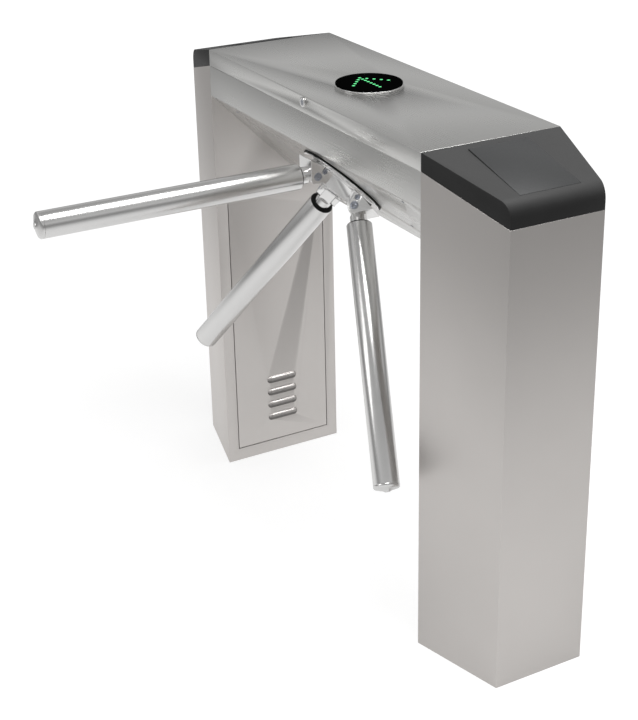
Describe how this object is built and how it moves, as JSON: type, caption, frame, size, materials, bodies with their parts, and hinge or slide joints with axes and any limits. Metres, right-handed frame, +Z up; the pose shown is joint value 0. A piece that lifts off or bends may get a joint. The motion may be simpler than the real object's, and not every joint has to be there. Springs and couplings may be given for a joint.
{
  "type": "tripod turnstile",
  "caption": "Bridge tripod turnstile with tapered steel pedestals, sloped tripod head with tube arms, black end caps, hinged lid and doors.",
  "frame": {"origin": "on the floor under the middle of the cabinet", "axes": "+Z up, +Y along the cabinet from the near pedestal to the far one, +X across the lane away from the arms"},
  "size_m": [0.8303, 1.22, 0.986],
  "materials": {
    "satin_steel": "fine satin",
    "polished_steel": "polished",
    "black_shell": "satin, moulded",
    "reader_glass": "satin, translucent grey",
    "collar_rubber": "matt",
    "zinced_steel": "bright zinc",
    "machined_steel": "ground",
    "black_casing": "matt",
    "circuit_board": "lacquered",
    "green_light": "clear, lit"
  },
  "bodies": {
    "cabinet": {"near_pedestal": "satin_steel", "far_pedestal": "satin_steel", "near_base_plate": "zinced_steel", "far_base_plate": "zinced_steel", "beam": "satin_steel", "near_end_cap": "black_shell", "far_end_cap": "black_shell", "near_reader_window": "reader_glass", "far_reader_window": "reader_glass", "card_readers": "black_casing", "hub_seal": "black_shell", "front_plate": "zinced_steel", "rear_plate": "zinced_steel", "frame_pillars": "zinced_steel", "frame_screws": "zinced_steel", "bearing_outer_races": "machined_steel", "bearing_balls": "polished_steel", "pawl_pins": "zinced_steel", "solenoids": "black_casing", "drive_motor": "black_casing", "sensor_board": "circuit_board", "control_board": "circuit_board", "power_supply": "zinced_steel", "lid_striker": "zinced_steel", "lid_hinge_leaves": "zinced_steel", "lid_hinge_pins": "zinced_steel", "door_hinge_pins": "zinced_steel"},
    "tripod": {"hub": "polished_steel", "hub_bolt": "zinced_steel", "main_shaft": "machined_steel", "shaft_nut": "zinced_steel", "bearing_inner_races": "machined_steel", "lock_wheel": "machined_steel", "main_gear": "machined_steel", "encoder_disc": "black_casing", "arm_1_tube": "polished_steel", "arm_2_tube": "polished_steel", "arm_3_tube": "polished_steel", "arm_shanks": "polished_steel", "arm_collars": "collar_rubber", "arm_end_caps": "polished_steel", "arm_bolts": "zinced_steel"},
    "pinion_rotor": {"motor_pinion": "machined_steel"},
    "pawl_a": {"lock_pawl_a": "machined_steel"},
    "pawl_b": {"lock_pawl_b": "machined_steel"},
    "armature_a": {"plunger_a": "machined_steel"},
    "armature_b": {"plunger_b": "machined_steel"},
    "lid_cover": {"lid": "satin_steel", "lid_hinge_straps": "zinced_steel", "indicator_housing": "black_shell", "indicator_leds": "green_light", "indicator_board": "circuit_board", "lid_lock_barrel": "polished_steel"},
    "lid_key": {"lid_lock_plug": "zinced_steel"},
    "near_door_leaf": {"near_door": "satin_steel", "near_door_barrel": "polished_steel"},
    "far_door_leaf": {"far_door": "satin_steel", "far_door_barrel": "polished_steel"},
    "near_door_key": {"near_door_plug": "zinced_steel"},
    "far_door_key": {"far_door_plug": "zinced_steel"}
  },
  "joints": [
    {"name": "tripod_turn", "type": "hinge", "parent": "cabinet", "child": "tripod", "pos_m": [-0.06085, 0, 0.79935], "axis": [-0.7071, 0, -0.7071], "continuous": true},
    {"name": "pinion_turn", "type": "hinge", "parent": "cabinet", "child": "pinion_rotor", "pos_m": [-0.06085, 0.084, 0.79935], "axis": [-0.7071, 0, -0.7071], "continuous": true},
    {"name": "pawl_a_swing", "type": "hinge", "parent": "cabinet", "child": "pawl_a", "pos_m": [-0.10479, -0.02763, 0.84329], "axis": [0.7071, 0, 0.7071], "range_deg": [0, 8], "stiffness_Nm_per_rad": 0.5, "springref_deg": -20.05},
    {"name": "pawl_b_swing", "type": "hinge", "parent": "cabinet", "child": "pawl_b", "pos_m": [-0.01691, -0.02763, 0.75541], "axis": [-0.7071, 0, -0.7071], "range_deg": [0, 8], "stiffness_Nm_per_rad": 0.5, "springref_deg": -20.05},
    {"name": "armature_a_slide", "type": "slide", "parent": "cabinet", "child": "armature_a", "axis": [0.6124, -0.5, -0.6124], "range_m": [0, 0.0044]},
    {"name": "armature_b_slide", "type": "slide", "parent": "cabinet", "child": "armature_b", "axis": [-0.6124, -0.5, 0.6124], "range_m": [0, 0.0044]},
    {"name": "lid_swing", "type": "hinge", "parent": "cabinet", "child": "lid_cover", "pos_m": [0.1435, 0, 0.9462], "axis": [0, 1, 0], "range_deg": [0, 100]},
    {"name": "lid_key_turn", "type": "hinge", "parent": "lid_cover", "child": "lid_key", "pos_m": [-0.1435, 0, 0.96708], "axis": [1, 0, 0], "range_deg": [0, 90]},
    {"name": "near_door_swing", "type": "hinge", "parent": "cabinet", "child": "near_door_leaf", "pos_m": [-0.096, -0.4225, 0.3455], "axis": [0, 0, 1], "range_deg": [0, 80]},
    {"name": "far_door_swing", "type": "hinge", "parent": "cabinet", "child": "far_door_leaf", "pos_m": [-0.096, 0.4225, 0.3455], "axis": [0, 0, -1], "range_deg": [0, 80]},
    {"name": "near_door_key_turn", "type": "hinge", "parent": "near_door_leaf", "child": "near_door_key", "pos_m": [0.098, -0.416, 0.595], "axis": [0, -1, 0], "range_deg": [0, 90]},
    {"name": "far_door_key_turn", "type": "hinge", "parent": "far_door_leaf", "child": "far_door_key", "pos_m": [0.098, 0.416, 0.595], "axis": [0, -1, 0], "range_deg": [0, 90]}
  ],
  "couplings": [
    {"joint": "pinion_turn", "follows": "tripod_turn", "ratio": -2.5},
    {"joint": "armature_a_slide", "follows": "pawl_a_swing", "m_per_rad": 0.029976},
    {"joint": "armature_b_slide", "follows": "pawl_b_swing", "m_per_rad": 0.029976}
  ]
}
